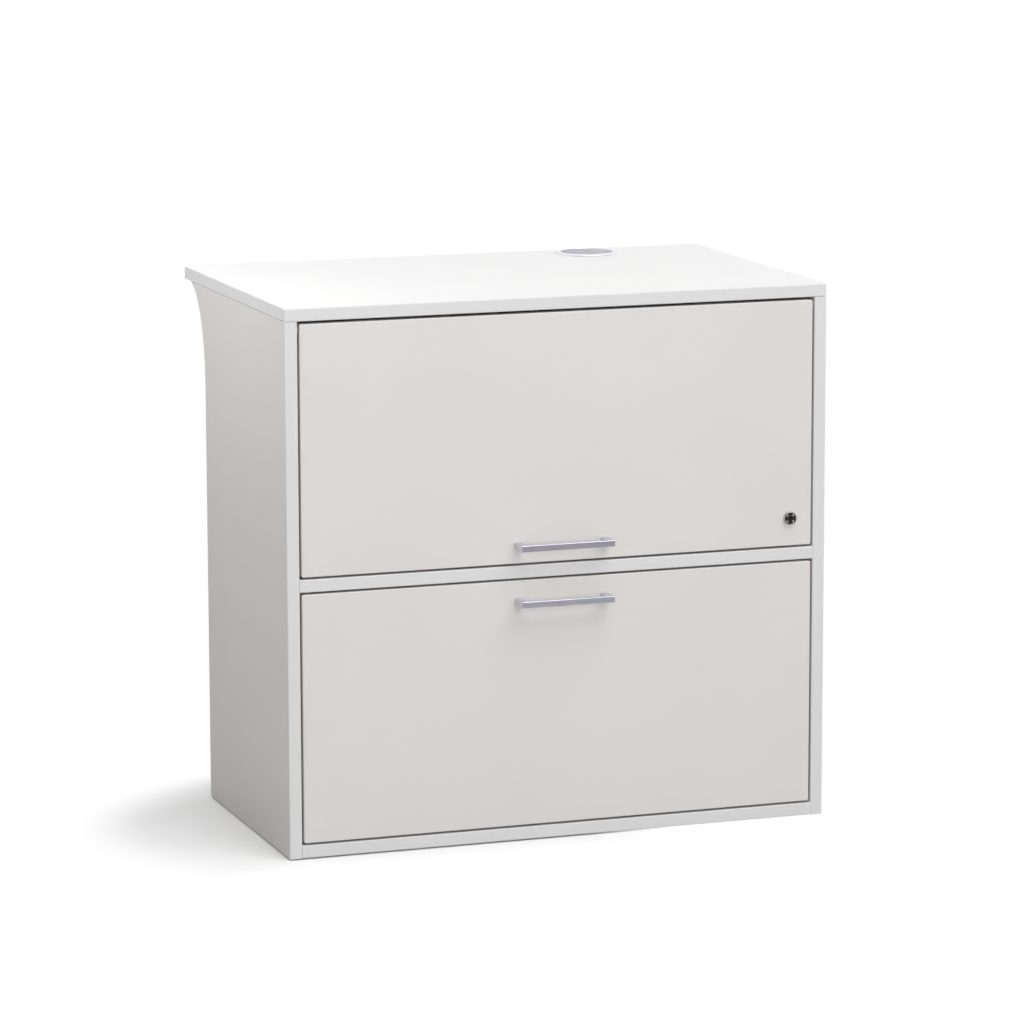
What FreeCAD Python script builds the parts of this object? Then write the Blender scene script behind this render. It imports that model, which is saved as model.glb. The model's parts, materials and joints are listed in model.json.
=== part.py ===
import FreeCAD
import Part
import os
import re
import Sketcher

# Driving sizes in millimetres. Every board, fitting and fit reads its sizes from here.
SIZES = {
    # carcass
    "overall_width": 800,
    "side_depth": 405,
    "top_overhang": 105,
    "board_thick": 18,
    "band_thick": 2,
    "band_round": 1.5,
    "corner_round": 3,
    "glide_high": 2,
    "glide_across": 24,
    "front_high": 351.5,
    "front_gap": 3,
    "pivot_gap": 4,
    "back_thick": 8,
    "back_inset": 12,
    "groove_deep": 6,
    "flare_reach": 80,
    "flare_high": 144,
    "flare_tip": 2,
    # fits
    "fit_play": 0.1,
    "run_play": 0.05,
    "end_play": 0.3,
    # carcass fittings
    "dowel_wide": 8,
    "dowel_in_face": 12,
    "dowel_in_end": 20,
    "dowel_front": 140,
    "dowel_rear": 145,
    "cam_wide": 15,
    "cam_deep": 12.5,
    "cam_reach": 34,
    "cam_front": 80,
    "cam_rear": 85,
    "bolt_wide": 6,
    "bolt_in_face": 11,
    "bolt_past_cam": 3,
    "top_dowel_front": 70,
    "top_dowel_rear": 125,
    "top_cam_front": 210,
    "top_cam_rear": 60,
    "glide_in": 30,
    "glide_peg": 8,
    "glide_peg_long": 12,
    # cable grommet
    "grommet_in": 194,
    "grommet_bore": 77,
    "grommet_wall": 1.5,
    "grommet_rim": 5.9,
    "grommet_edge": 0.6,
    "grommet_lip": 3,
    "grommet_below": 2,
    "grommet_bevel": 0.7,
    # handles
    "handle_centres": 128,
    "handle_leg": 9.5,
    "handle_high": 9,
    "handle_bar": 8,
    "handle_reach": 32,
    "handle_round": 0.8,
    "flap_handle_up": 26,
    "drawer_handle_down": 29.5,
    # screws
    "screw_wide": 4,
    "screw_head_wide": 8,
    "screw_head_high": 2,
    "screw_in_board": 12,
    # flap pivots
    "pin_wide": 6,
    "pin_in_flap": 30,
    "pin_in_bush": 10,
    "bush_wide": 10,
    "bush_deep": 12,
    "bush_flange_wide": 14,
    "bush_flange_thick": 1.5,
    # flap lift
    "lift_thick": 22,
    "lift_front": 34,
    "lift_long": 120,
    "lift_high": 70,
    "lift_top_down": 15,
    "lift_round": 5,
    "lift_shaft_back": 45,
    "lift_shaft_down": 45,
    "lift_shaft_wide": 16,
    "lift_shaft_long": 12,
    "lift_plate": 4,
    "lift_plate_gap": 0.5,
    "lift_stud_down": 110,
    "lift_stud_back": 12,
    "lift_hub_wide": 22,
    "lift_eye_wide": 16,
    "lift_arm_half": 6,
    "link_half": 4,
    "link_eye_wide": 15,
    "lift_screw_rear": 19,
    "lift_screw_front": 14,
    "lift_screw_edge": 9,
    "bracket_wide": 22.5,
    "bracket_high": 50,
    "bracket_thick": 2.5,
    "bracket_lug_past": 8,
    "bracket_lug_high": 18,
    "bracket_screw_in": 9,
    "bracket_screw_apart": 32,
    # flap stops
    "stop_in": 82,
    "stop_wide": 16,
    "stop_deep": 12,
    "stop_high": 12,
    "stop_play": 0.2,
    "stop_peg": 8,
    "stop_peg_long": 10,
    # lock
    "lock_in": 33.5,
    "lock_up": 40,
    "lock_head_wide": 18.8,
    "lock_proud": 5,
    "lock_barrel_wide": 16,
    "lock_behind": 8,
    "plug_cap_wide": 16.6,
    "plug_cap_thick": 2.6,
    "plug_recess": 0.4,
    "plug_stem_wide": 10,
    "plug_notch_wide": 3.6,
    "plug_notch_deep": 1.8,
    "key_slot_wide": 1.8,
    "key_slot_high": 8,
    "key_slot_deep": 6,
    "lock_nut_across": 24,
    "lock_nut_thick": 4,
    "cam_plate_thick": 2.5,
    "cam_plate_wide": 12,
    "cam_plate_long": 28,
    "cam_seat_wide": 8,
    "cam_boss_wide": 16,
    "cam_gap": 1,
    "strike_plate": 2,
    "strike_deep": 30,
    "strike_high": 32,
    "strike_catch": 14,
    "strike_gap": 1,
    "strike_screw_back": 18,
    "strike_screw_apart": 18,
    # drawer
    "drawer_board": 16,
    "drawer_rear_gap": 17,
    "drawer_box_high": 275,
    "drawer_box_lift": 21,
    "drawer_floor": 8,
    "drawer_floor_lift": 12,
    "drawer_dowel_low": 60,
    "drawer_dowel_high": 220,
    "drawer_dowel_in": 10,
    "front_screw_side": 53,
    "front_screw_in": 10,
    "rail_thick": 3,
    "rail_high": 12,
    "rail_seat": 8,
    "rail_spacing": 330,
    "rail_middle_gap": 34,
    "rail_side_gap": 4,
    "rail_in_board": 12,
    # runners
    "runner_deep": 12.7,
    "runner_high": 45,
    "runner_sheet": 1.2,
    "runner_play": 0.4,
    "runner_rear_gap": 15,
    "runner_front": 20,
    "runner_up": 66,
    "runner_outer_flange": 8,
    "runner_middle_back": 4.5,
    "runner_side_gap": 1.7,
    "runner_inner_gap": 1,
    "runner_screw_front": 40,
    "runner_screw_rear": 70,
    "slide_screw_front": 70,
    "slide_screw_rear": 100,
}

# Places that follow from the sizes.
PLACES = {
    "top_depth": "side_depth + top_overhang",
    "front_y": "(handle_reach - top_depth) / 2",
    "rear_y": "front_y + side_depth",
    "inside_y": "front_y + board_thick",
    "half_width": "overall_width / 2",
    "inner_half": "half_width - board_thick",
    "front_half": "inner_half - front_gap",
    "base_low": "glide_high",
    "base_high": "base_low + board_thick",
    "drawer_low": "base_high + front_gap",
    "drawer_high": "drawer_low + front_high",
    "shelf_low": "drawer_high + front_gap",
    "shelf_high": "shelf_low + board_thick",
    "flap_low": "shelf_high + front_gap",
    "flap_high": "flap_low + front_high",
    "top_low": "flap_high + pivot_gap",
    "top_high": "top_low + board_thick",
    "back_rear": "rear_y - back_inset",
    "back_front": "back_rear - back_thick",
    "flare_rear": "rear_y + flare_reach * (1 - sqrt(1 - (1 - flare_tip / flare_high) ^ 2))",
    "side_middle": "inner_half + board_thick / 2",
    "grommet_x": "half_width - grommet_in",
    "grommet_y": "(rear_y + front_y + top_depth) / 2",
    "grommet_outer": "grommet_bore / 2 + grommet_wall",
    "grommet_flange": "grommet_outer + grommet_rim",
    "pivot_y": "front_y + board_thick / 2",
    "pivot_z": "flap_high - board_thick / 2",
    "shaft_y": "pivot_y + lift_shaft_back",
    "shaft_z": "pivot_z - lift_shaft_down",
    "stud_y": "inside_y + lift_stud_back",
    "stud_z": "pivot_z - lift_stud_down",
    "elbow_y": "stud_y + lift_shaft_back",
    "elbow_z": "stud_z - lift_shaft_down",
    "lift_inner": "inner_half - lift_thick",
    "arm_outer": "lift_inner - lift_plate_gap",
    "arm_inner": "arm_outer - lift_plate",
    "link_outer": "arm_inner - lift_plate_gap",
    "link_inner": "link_outer - lift_plate",
    "lift_top": "pivot_z - lift_top_down",
    "lift_low": "lift_top - lift_high",
    "bracket_face": "inside_y + bracket_thick",
    "bracket_screw_x": "arm_outer - bracket_wide + bracket_screw_in",
    "stop_x": "inner_half - stop_in",
    "lock_x": "front_half - lock_in",
    "lock_z": "flap_low + lock_up",
    "lock_rear": "inside_y + lock_behind",
    "cam_face": "lock_rear + cam_gap",
    "cam_rear_face": "cam_face + cam_plate_thick",
    "strike_face": "cam_face - strike_gap - strike_plate",
    "strike_screw_y": "strike_face + strike_screw_back",
    "flap_handle_z": "flap_low + flap_handle_up",
    "drawer_handle_z": "drawer_high - drawer_handle_down",
    "box_half": "inner_half - runner_deep",
    "box_inner": "box_half - drawer_board",
    "box_low": "drawer_low + drawer_box_lift",
    "box_high": "box_low + drawer_box_high",
    "box_rear": "back_front - drawer_rear_gap",
    "floor_low": "box_low + drawer_floor_lift",
    "floor_high": "floor_low + drawer_floor",
    "front_screw_x": "box_inner - front_screw_side",
    "rail_low": "box_high - rail_seat",
    "rail_front": "inside_y + drawer_board - rail_in_board",
    "rail_rear": "box_rear - drawer_board + rail_in_board",
    "runner_y": "front_y + runner_front",
    "runner_rear": "back_front - runner_rear_gap",
    "runner_z": "box_low + runner_up",
    "runner_middle_flange": "runner_deep - runner_middle_back - runner_side_gap",
    "runner_inner_flange": "runner_deep - runner_middle_back - runner_sheet - runner_inner_gap",
}

doc = FreeCAD.newDocument("sideboard")
dims = doc.addObject("Spreadsheet::Sheet", "dims")
for row, (word, size) in enumerate(SIZES.items(), start=1):
    dims.set(f"A{row}", word)
    dims.set(f"B{row}", str(size))
    dims.setAlias(f"B{row}", word)
places = doc.addObject("Spreadsheet::Sheet", "places")
reckoner = doc.addObject("Spreadsheet::Sheet", "reckoner")


def formula(text):
    """Spells out which sheet each size or place in a formula comes from."""

    def spelled(match):
        word = match.group(0)
        if word in SIZES:
            return "dims." + word
        if word in PLACES:
            return "places." + word
        return word

    return re.sub(r"[a-z_]+", spelled, text)


for row, (word, text) in enumerate(PLACES.items(), start=1):
    places.set(f"A{row}", word)
    places.setAlias(f"B{row}", word)
    places.set(f"B{row}", "=" + formula(text))
doc.recompute()

NODES = {}
SIDES = ("left", "right")


def number(text):
    """What a formula comes to."""
    reckoner.set("A1", "=" + formula(text))
    reckoner.recompute()
    return float(reckoner.get("A1"))


def keep(node, piece):
    """Names a finished piece."""
    piece.Label = node
    NODES[node] = piece
    return piece


def span(side, low, high):
    """A stretch along X on the right, or its mirror image on the left."""
    if side == "right":
        return low, high
    return f"-({high})", f"-({low})"


def at_side(side, place):
    """A place along X on the right, or its mirror image on the left."""
    return place if side == "right" else f"-({place})"


def inward(end, size, front="front_y", rear="rear_y"):
    """A place measured in from the front or the rear of a piece."""
    return f"{front} + {size}" if end == "front" else f"{rear} - {size}"


def slab(name, across, deep, tall):
    """A board between two planes along each of X, Y and Z."""
    box = doc.addObject("Part::Box", name)
    for size, axis, (low, high) in zip(("Length", "Width", "Height"), "xyz", (across, deep, tall)):
        box.setExpression(size, formula(f"({high}) - ({low})"))
        box.setExpression("Placement.Base." + axis, formula(low))
    return box


TURNS = {
    "x": FreeCAD.Rotation(FreeCAD.Vector(0, 1, 0), 90),
    "y": FreeCAD.Rotation(FreeCAD.Vector(1, 0, 0), -90),
    "z": FreeCAD.Rotation(),
}
UPRIGHT = FreeCAD.Rotation(FreeCAD.Vector(0, 1, 0), -90)


def lay(piece, axis, centre, low):
    """Turns a piece made along Z to run along an axis, from a start on it."""
    piece.Placement = FreeCAD.Placement(FreeCAD.Vector(), TURNS[axis])
    spots = dict(zip([other for other in "xyz" if other != axis], centre))
    spots[axis] = low
    for other, text in spots.items():
        piece.setExpression("Placement.Base." + other, formula(text))


def rod(name, axis, centre, radius, reach):
    """A round bar or hole along one axis."""
    low, high = reach
    bar = doc.addObject("Part::Cylinder", name)
    bar.setExpression("Radius", formula(radius))
    bar.setExpression("Height", formula(f"({high}) - ({low})"))
    lay(bar, axis, centre, low)
    return bar


def oval(name, across, centre, halves):
    """An upright oval bar along X, taller than it is deep."""
    low, high = across
    outline = doc.addObject("Part::Ellipse", name + "_outline")
    outline.Placement = FreeCAD.Placement(FreeCAD.Vector(), UPRIGHT)
    for axis, text in zip("xyz", (low, *centre)):
        outline.setExpression("Placement.Base." + axis, formula(text))
    for size, text in zip(("MinorRadius", "MajorRadius"), halves):
        outline.setExpression(size, formula(text))
    bar = doc.addObject("Part::Extrusion", name)
    bar.Base = outline
    bar.DirMode = "Custom"
    bar.Dir = FreeCAD.Vector(1, 0, 0)
    bar.setExpression("LengthFwd", formula(f"({high}) - ({low})"))
    bar.Solid = True
    return bar


def join(name, pieces):
    """Pieces made as one."""
    whole = doc.addObject("Part::MultiFuse", name)
    whole.Shapes = pieces
    return whole


def carve(name, base, tools):
    """A piece with hollows taken out."""
    cut = doc.addObject("Part::Cut", name)
    cut.Base = base
    cut.Tool = tools[0] if len(tools) == 1 else join(name + "_hollows", tools)
    return cut


def gather(name, pieces):
    """Like pieces that stay separate."""
    several = doc.addObject("Part::Compound", name)
    several.Links = pieces
    return several


def mirror(name, piece):
    """The left-hand twin of a right-hand piece."""
    twin = doc.addObject("Part::Mirroring", name)
    twin.Source = piece
    twin.Normal = FreeCAD.Vector(1, 0, 0)
    return twin


def start_body(name, at):
    """A body whose own corner stands at a place."""
    body = doc.addObject("PartDesign::Body", name)
    for axis, text in zip("xyz", at):
        body.setExpression("Placement.Base." + axis, formula(text))
    return body


def attach(body, role):
    """An empty sketch on one of the body's own planes."""
    sketch = body.newObject("Sketcher::SketchObject", body.Name + "_sketch")
    plane = next(item for item in body.Origin.OriginFeatures if item.Role == role)
    sketch.AttachmentSupport = [(plane, "")]
    sketch.MapMode = "FlatFace"
    return sketch


def pin_down(sketch, line, point, spot):
    """Ties a sketch point to its two distances from the origin."""
    for kind, axis, text in zip(("DistanceX", "DistanceY"), (-2, -1), spot):
        if text == "0":
            sketch.addConstraint(Sketcher.Constraint("PointOnObject", line, point, axis))
            continue
        tie = Sketcher.Constraint(kind, -1, 1, line, point, number(text))
        index = sketch.addConstraint(tie)
        sketch.renameConstraint(index, f"{kind}{line}")
        sketch.setExpression(f"Constraints.{kind}{line}", formula(text))


def draw(body, role, loops):
    """A sketch of closed straight-sided outlines."""
    sketch = attach(body, role)
    for loop in loops:
        corners = [FreeCAD.Vector(number(across), number(up), 0) for across, up in loop]
        first = sketch.GeometryCount
        count = len(corners)
        for index in range(count):
            sketch.addGeometry(Part.LineSegment(corners[index], corners[(index + 1) % count]), False)
        for index in range(count):
            follows = first + (index + 1) % count
            sketch.addConstraint(Sketcher.Constraint("Coincident", first + index, 2, follows, 1))
        for index, spot in enumerate(loop):
            pin_down(sketch, first + index, 1, spot)
    return sketch


def draw_circle(body, role, spot, radius):
    """A sketch of one circle."""
    sketch = attach(body, role)
    middle = FreeCAD.Vector(number(spot[0]), number(spot[1]), 0)
    circle = Part.Circle(middle, FreeCAD.Vector(0, 0, 1), number(radius))
    line = sketch.addGeometry(circle, False)
    pin_down(sketch, line, 3, spot)
    index = sketch.addConstraint(Sketcher.Constraint("Radius", line, number(radius)))
    sketch.renameConstraint(index, "size")
    sketch.setExpression("Constraints.size", formula(radius))
    return sketch


def pad(body, sketch, length, reverse=False):
    """Gives a sketch its thickness."""
    solid = body.newObject("PartDesign::Pad", body.Name + "_pad")
    solid.Profile = sketch
    solid.setExpression("Length", formula(length))
    solid.Reversed = reverse
    body.Tip = solid
    doc.recompute()
    return solid


def turn(body, sketch):
    """Turns a sketch about its upright axis."""
    solid = body.newObject("PartDesign::Revolution", body.Name + "_turned")
    solid.Profile = sketch
    solid.ReferenceAxis = (sketch, ["V_Axis"])
    solid.Angle = 360
    body.Tip = solid
    doc.recompute()
    return solid


def soften(body, solid, radius, chosen):
    """Rounds the edges of a solid that a test picks out."""
    edges = [f"Edge{index}" for index, edge in enumerate(solid.Shape.Edges, start=1) if chosen(edge)]
    rounding = body.newObject("PartDesign::Fillet", body.Name + "_" + radius)
    rounding.Base = (solid, edges)
    rounding.setExpression("Radius", formula(radius))
    body.Tip = rounding
    doc.recompute()
    return rounding


def rectangle(low, high):
    """The corners of an upright rectangle."""
    return [(low[0], low[1]), (high[0], low[1]), (high[0], high[1]), (low[0], high[1])]


def near(first, second):
    return abs(first - second) < 1e-4


def on_rim(edge, box):
    """Whether an edge lies on the outer rim of a box, where two of its faces meet."""
    spots = [vertex.Point for vertex in edge.Vertexes]
    faces = [
        all(near(spot.x, box.XMin) for spot in spots) or all(near(spot.x, box.XMax) for spot in spots),
        all(near(spot.y, box.YMin) for spot in spots) or all(near(spot.y, box.YMax) for spot in spots),
        all(near(spot.z, box.ZMin) for spot in spots) or all(near(spot.z, box.ZMax) for spot in spots),
    ]
    return sum(faces) >= 2


# Carcass boards. Dowels and cam bolts tie the base and the shelf to the sides.
BOARDS = {"base": "base_low", "shelf": "shelf_low"}
dowels = []
cams = []
bolts = []
side_hollows = {"left": [], "right": []}
board_hollows = {"base": [], "shelf": []}
top_hollows = []

for board, low in BOARDS.items():
    middle = f"{low} + board_thick / 2"
    for side in SIDES:
        for end in ("front", "rear"):
            tag = f"{board}_{side}_{end}"
            spot = (inward(end, f"dowel_{end}"), middle)
            face = span(side, "inner_half", "inner_half + dowel_in_face + end_play")
            inside = span(side, "inner_half - dowel_in_end - end_play", "inner_half")
            whole = span(side, "inner_half - dowel_in_end", "inner_half + dowel_in_face")
            dowels.append(rod("dowel_" + tag, "x", spot, "dowel_wide / 2", whole))
            hole = "dowel_wide / 2 + fit_play"
            side_hollows[side].append(rod("dowel_face_" + tag, "x", spot, hole, face))
            board_hollows[board].append(rod("dowel_end_" + tag, "x", spot, hole, inside))

            spot = (inward(end, f"cam_{end}"), middle)
            face = span(side, "inner_half", "inner_half + bolt_in_face + end_play")
            inside = span(side, "inner_half - cam_reach", "inner_half")
            whole = span(side, "inner_half - cam_reach - bolt_past_cam", "inner_half + bolt_in_face")
            slot = span(side, "inner_half - cam_reach - bolt_past_cam - end_play", "inner_half")
            bolts.append(rod("bolt_" + tag, "x", spot, "bolt_wide / 2", whole))
            hole = "bolt_wide / 2 + fit_play"
            side_hollows[side].append(rod("bolt_face_" + tag, "x", spot, hole, face))
            board_hollows[board].append(rod("bolt_end_" + tag, "x", spot, hole, inside))
            centre = (at_side(side, "inner_half - cam_reach"), inward(end, f"cam_{end}"))
            well = (low, f"{low} + cam_deep + end_play")
            board_hollows[board].append(rod("cam_well_" + tag, "z", centre, "cam_wide / 2", well))
            barrel = rod("cam_" + tag, "z", centre, "cam_wide / 2 - fit_play", (low, f"{low} + cam_deep"))
            channel = rod("cam_channel_" + tag, "x", spot, "bolt_wide / 2 + fit_play", slot)
            cams.append(carve("cam_cut_" + tag, barrel, [channel]))

for side in SIDES:
    middle = at_side(side, "side_middle")
    for end in ("front", "rear"):
        tag = f"top_{side}_{end}"
        spot = (middle, inward(end, f"top_dowel_{end}"))
        dowels.append(rod("dowel_" + tag, "z", spot, "dowel_wide / 2",
                          ("top_low - dowel_in_end", "top_low + dowel_in_face")))
        hole = "dowel_wide / 2 + fit_play"
        side_hollows[side].append(rod("dowel_end_" + tag, "z", spot, hole,
                                      ("top_low - dowel_in_end - end_play", "top_low")))
        top_hollows.append(rod("dowel_face_" + tag, "z", spot, hole,
                               ("top_low", "top_low + dowel_in_face + end_play")))

        spot = (middle, inward(end, f"top_cam_{end}"))
        bolts.append(rod("bolt_" + tag, "z", spot, "bolt_wide / 2",
                         ("top_low - cam_reach - bolt_past_cam", "top_low + bolt_in_face")))
        hole = "bolt_wide / 2 + fit_play"
        side_hollows[side].append(rod("bolt_end_" + tag, "z", spot, hole, ("top_low - cam_reach", "top_low")))
        top_hollows.append(rod("bolt_face_" + tag, "z", spot, hole,
                               ("top_low", "top_low + bolt_in_face + end_play")))
        centre = (inward(end, f"top_cam_{end}"), "top_low - cam_reach")
        well = span(side, "inner_half", "inner_half + cam_deep + end_play")
        side_hollows[side].append(rod("cam_well_" + tag, "x", centre, "cam_wide / 2", well))
        barrel = rod("cam_" + tag, "x", centre, "cam_wide / 2 - fit_play",
                     span(side, "inner_half", "inner_half + cam_deep"))
        channel = rod("cam_channel_" + tag, "z", spot, hole,
                      ("top_low - cam_reach - bolt_past_cam - end_play", "top_low"))
        cams.append(carve("cam_cut_" + tag, barrel, [channel]))

keep("carcass_dowels", gather("carcass_dowels", dowels))
keep("cam_housings", gather("cam_housings", cams))
keep("cam_bolts", gather("cam_bolts", bolts))

# Floor glides, pressed into the base.
glides = []
for side in SIDES:
    for end in ("front", "rear"):
        tag = f"{side}_{end}"
        spot = (at_side(side, "inner_half - glide_in"), inward(end, "glide_in"))
        disc = rod("glide_disc_" + tag, "z", spot, "glide_across / 2", ("0", "glide_high"))
        peg = rod("glide_peg_" + tag, "z", spot, "glide_peg / 2", ("0", "glide_high + glide_peg_long"))
        glides.append(join("glide_" + tag, [disc, peg]))
        board_hollows["base"].append(rod("glide_hole_" + tag, "z", spot, "glide_peg / 2 + fit_play",
                                         ("base_low", "base_low + glide_peg_long + end_play")))
keep("floor_glides", gather("floor_glides", glides))

# Back panel, in grooves all round.
back_slot = ("back_front - fit_play", "back_rear + fit_play")
keep("back_panel", slab("back_panel",
                        ("-(inner_half + groove_deep)", "inner_half + groove_deep"),
                        ("back_front", "back_rear"),
                        ("base_high - groove_deep", "top_low + groove_deep")))
board_hollows["base"].append(slab("base_groove", ("-(inner_half)", "inner_half"), back_slot,
                                  ("base_high - groove_deep - end_play", "base_high")))
top_hollows.append(slab("top_groove",
                        ("-(inner_half + groove_deep + end_play)", "inner_half + groove_deep + end_play"),
                        back_slot, ("top_low", "top_low + groove_deep + end_play")))
for side in SIDES:
    side_hollows[side].append(slab("side_groove_" + side,
                                   span(side, "inner_half", "inner_half + groove_deep + end_play"),
                                   back_slot, ("base_high - groove_deep - end_play", "top_low")))

# Runner members: nested channels, the outer on the carcass, the inner on the drawer.
screw_hole = "screw_wide / 2 + fit_play"
runner_low = "runner_z - runner_high / 2"
middle_lip = "runner_deep - runner_middle_back - runner_middle_flange"
middle_back = "runner_deep - runner_middle_back"
channels = {
    "outer": [
        ("runner_deep - runner_outer_flange", "0"),
        ("runner_deep", "0"),
        ("runner_deep", "runner_high"),
        ("runner_deep - runner_outer_flange", "runner_high"),
        ("runner_deep - runner_outer_flange", "runner_high - runner_sheet"),
        ("runner_deep - runner_sheet", "runner_high - runner_sheet"),
        ("runner_deep - runner_sheet", "runner_sheet"),
        ("runner_deep - runner_outer_flange", "runner_sheet"),
    ],
    "middle": [
        (middle_lip, "runner_sheet + runner_play"),
        (middle_back, "runner_sheet + runner_play"),
        (middle_back, "runner_high - runner_sheet - runner_play"),
        (middle_lip, "runner_high - runner_sheet - runner_play"),
        (middle_lip, "runner_high - 2 * runner_sheet - runner_play"),
        (f"{middle_back} - runner_sheet", "runner_high - 2 * runner_sheet - runner_play"),
        (f"{middle_back} - runner_sheet", "2 * runner_sheet + runner_play"),
        (middle_lip, "2 * runner_sheet + runner_play"),
    ],
    "inner": [
        ("0", "2 * runner_sheet + 2 * runner_play"),
        ("runner_inner_flange", "2 * runner_sheet + 2 * runner_play"),
        ("runner_inner_flange", "3 * runner_sheet + 2 * runner_play"),
        ("runner_sheet", "3 * runner_sheet + 2 * runner_play"),
        ("runner_sheet", "runner_high - 3 * runner_sheet - 2 * runner_play"),
        ("runner_inner_flange", "runner_high - 3 * runner_sheet - 2 * runner_play"),
        ("runner_inner_flange", "runner_high - 2 * runner_sheet - 2 * runner_play"),
        ("0", "runner_high - 2 * runner_sheet - 2 * runner_play"),
    ],
}
members = {}
for member, outline in channels.items():
    body = start_body("runner_" + member, ("inner_half - runner_deep", "runner_y", runner_low))
    pad(body, draw(body, "XZ_Plane", [outline]), "runner_rear - runner_y", reverse=True)
    members[member] = body
outer_holes = []
inner_holes = []
outer_screws = []
inner_screws = []
drawer_side_hollows = {"left": [], "right": []}
for end in ("front", "rear"):
    spot = (inward(end, f"runner_screw_{end}", "runner_y", "runner_rear"), "runner_z")
    face = "inner_half - runner_sheet"
    outer_holes.append(rod("outer_hole_" + end, "x", spot, screw_hole, (face, "inner_half")))
    for side in SIDES:
        tag = f"{side}_{end}"
        shaft = rod("outer_shaft_" + tag, "x", spot, "screw_wide / 2",
                    span(side, face, "inner_half + screw_in_board"))
        head = rod("outer_head_" + tag, "x", spot, "screw_head_wide / 2",
                   span(side, f"{face} - screw_head_high", face))
        outer_screws.append(join("outer_screw_" + tag, [shaft, head]))
        side_hollows[side].append(rod("outer_pilot_" + tag, "x", spot, screw_hole,
                                      span(side, "inner_half", "inner_half + screw_in_board + end_play")))
    spot = (inward(end, f"slide_screw_{end}", "runner_y", "runner_rear"), "runner_z")
    face = "box_half + runner_sheet"
    inner_holes.append(rod("inner_hole_" + end, "x", spot, screw_hole, ("box_half", face)))
    for side in SIDES:
        tag = f"{side}_{end}"
        shaft = rod("inner_shaft_" + tag, "x", spot, "screw_wide / 2",
                    span(side, "box_half - screw_in_board", face))
        head = rod("inner_head_" + tag, "x", spot, "screw_head_wide / 2",
                   span(side, face, f"{face} + screw_head_high"))
        inner_screws.append(join("inner_screw_" + tag, [shaft, head]))
        drawer_side_hollows[side].append(rod("inner_pilot_" + tag, "x", spot, screw_hole,
                                             span(side, "box_half - screw_in_board - end_play", "box_half")))
keep("runner_outer_right", carve("runner_outer_right", members["outer"], outer_holes))
keep("runner_outer_left", mirror("runner_outer_left", NODES["runner_outer_right"]))
keep("runner_middle_right", members["middle"])
keep("runner_middle_left", mirror("runner_middle_left", members["middle"]))
keep("runner_inner_right", carve("runner_inner_right", members["inner"], inner_holes))
keep("runner_inner_left", mirror("runner_inner_left", NODES["runner_inner_right"]))
keep("runner_outer_screws", gather("runner_outer_screws", outer_screws))
keep("runner_inner_screws", gather("runner_inner_screws", inner_screws))

# Flap pivots: a pin in each upper corner of the flap turns in a bush in the side panel.
pivot = ("pivot_y", "pivot_z")
pin_hole = "pin_wide / 2 + run_play"
bushes = []
pins = []
flap_hollows = []
flap_band_holes = []
for side in SIDES:
    sleeve = rod("bush_sleeve_" + side, "x", pivot, "bush_wide / 2",
                 span(side, "inner_half", "inner_half + bush_deep"))
    collar = rod("bush_collar_" + side, "x", pivot, "bush_flange_wide / 2",
                 span(side, "inner_half - bush_flange_thick", "inner_half"))
    bore = rod("bush_bore_" + side, "x", pivot, pin_hole,
               span(side, "inner_half - bush_flange_thick", "inner_half + bush_deep"))
    bushes.append(carve("bush_" + side, join("bush_blank_" + side, [sleeve, collar]), [bore]))
    side_hollows[side].append(rod("bush_seat_" + side, "x", pivot, "bush_wide / 2 + run_play",
                                  span(side, "inner_half", "inner_half + bush_deep + end_play")))
    pins.append(rod("pin_" + side, "x", pivot, "pin_wide / 2",
                    span(side, "front_half - pin_in_flap", "inner_half + pin_in_bush")))
    flap_hollows.append(rod("pin_hole_" + side, "x", pivot, pin_hole,
                            span(side, "front_half - pin_in_flap - end_play", "front_half")))
    flap_band_holes.append(rod("pin_band_" + side, "x", pivot, pin_hole,
                               span(side, "front_half - band_thick", "front_half")))
keep("pivot_bushes", gather("pivot_bushes", bushes))
keep("pivot_pins", gather("pivot_pins", pins))

# Lift units: a spring housing on each side panel, an arm on its shaft and a link to the flap's bracket.
# Shaft, elbow, stud and pivot stand in a parallelogram, so the arm turns as far as the flap.
housing = start_body("lift_unit", ("lift_inner", "front_y + lift_front", "lift_low"))
outline = rectangle(("0", "0"), ("lift_long", "lift_high"))
block = pad(housing, draw(housing, "YZ_Plane", [outline]), "lift_thick")
thick = block.Shape.BoundBox


def faces_room(edge):
    """Whether an edge is on the housing's inner face or is one of its four short corners."""
    spots = [vertex.Point for vertex in edge.Vertexes]
    return not all(near(spot.x, thick.XMax) for spot in spots)


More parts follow.
